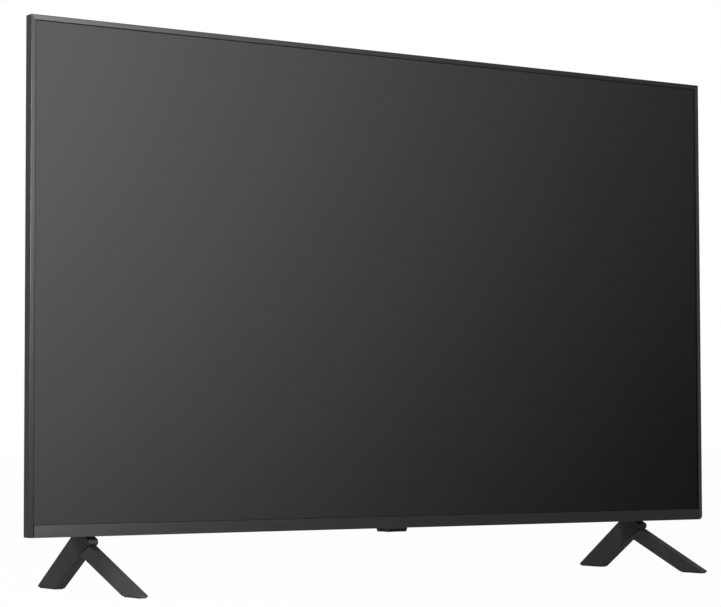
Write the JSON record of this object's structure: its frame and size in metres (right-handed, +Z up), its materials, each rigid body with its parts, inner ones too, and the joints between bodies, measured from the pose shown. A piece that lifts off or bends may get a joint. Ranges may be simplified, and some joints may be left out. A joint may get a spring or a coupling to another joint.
{
  "type": "flat screen television",
  "caption": "Slim flat screen television with narrow bezels, a taller bottom strip, a deeper lower rear hump and two splayed blade feet.",
  "frame": {"origin": "on the surface the set stands on, midway between the feet across and between their toes front to back", "axes": "+X to the right seen from the front, +Y to the rear, +Z up; the screen faces -Y"},
  "size_m": [0.967, 0.2334, 0.6263],
  "materials": {
    "screen": "low-gloss coated",
    "trim": "dark satin",
    "foam": "matte",
    "inner_black": "smooth",
    "window": "dark red, polished",
    "film": "translucent white",
    "steel": "galvanised",
    "reflector": "matte white",
    "light_bar": "white coated",
    "lens": "clear",
    "cover": "fine grained",
    "screw": "dark zinc",
    "board": "solder mask",
    "sink": "anodised",
    "ferrite": "dull",
    "can": "sleeved",
    "socket_metal": "nickel plated",
    "socket_plastic": "moulded",
    "speaker_box": "moulded",
    "driver": "dark",
    "rubber": "matte",
    "button": "smooth",
    "leg": "dark satin",
    "lead": "soft",
    "ribbon": "flexible"
  },
  "bodies": {
    "set": {"lcd_panel": "screen", "bezel_left": "trim", "bezel_right": "trim", "bezel_top": "trim", "bottom_chin": "trim", "panel_gasket": "foam", "guide_frame": "inner_black", "receiver_housing": "inner_black", "ir_window": "window", "prism_film": "film", "diffuser_film": "film", "diffuser_plate": "film", "back_chassis": "steel", "foot_left_bracket": "steel", "foot_right_bracket": "steel", "vesa_nuts": "steel", "cover_posts": "steel", "board_posts": "steel", "reflector_sheet": "reflector", "led_bars": "light_bar", "led_lenses": "lens", "rear_cover": "cover", "inlet_plate": "cover", "cover_screws": "screw", "board_screws": "screw", "foot_screws": "screw", "main_board": "board", "power_board": "board", "timing_board": "board", "wifi_module": "board", "receiver_board": "board", "heat_sink": "sink", "transformer": "ferrite", "capacitors": "can", "hdmi_sockets": "socket_metal", "usb_sockets": "socket_metal", "aerial_socket": "socket_metal", "lan_socket": "socket_plastic", "mains_inlet": "socket_plastic", "tact_switch": "socket_plastic", "ir_sensor": "socket_plastic", "speaker_left": "speaker_box", "speaker_right": "speaker_box", "speaker_left_driver": "driver", "speaker_right_driver": "driver", "speaker_bushes": "rubber", "foot_pads": "rubber", "foot_left_rear_leg": "leg", "foot_left_front_leg": "leg", "foot_right_rear_leg": "leg", "foot_right_front_leg": "leg", "power_lead": "lead", "led_lead": "lead", "speaker_leads": "lead", "receiver_lead": "lead", "wifi_lead": "lead", "display_cable": "ribbon", "panel_ribbons": "ribbon"},
    "button": {"power_button": "button", "switch_plunger": "button"}
  },
  "joints": [
    {"name": "power_button_press", "type": "slide", "parent": "set", "child": "button", "axis": [0, 0, 1], "range_m": [0, 0.0008], "stiffness_N_per_m": 800, "springref_m": -0.0003}
  ]
}
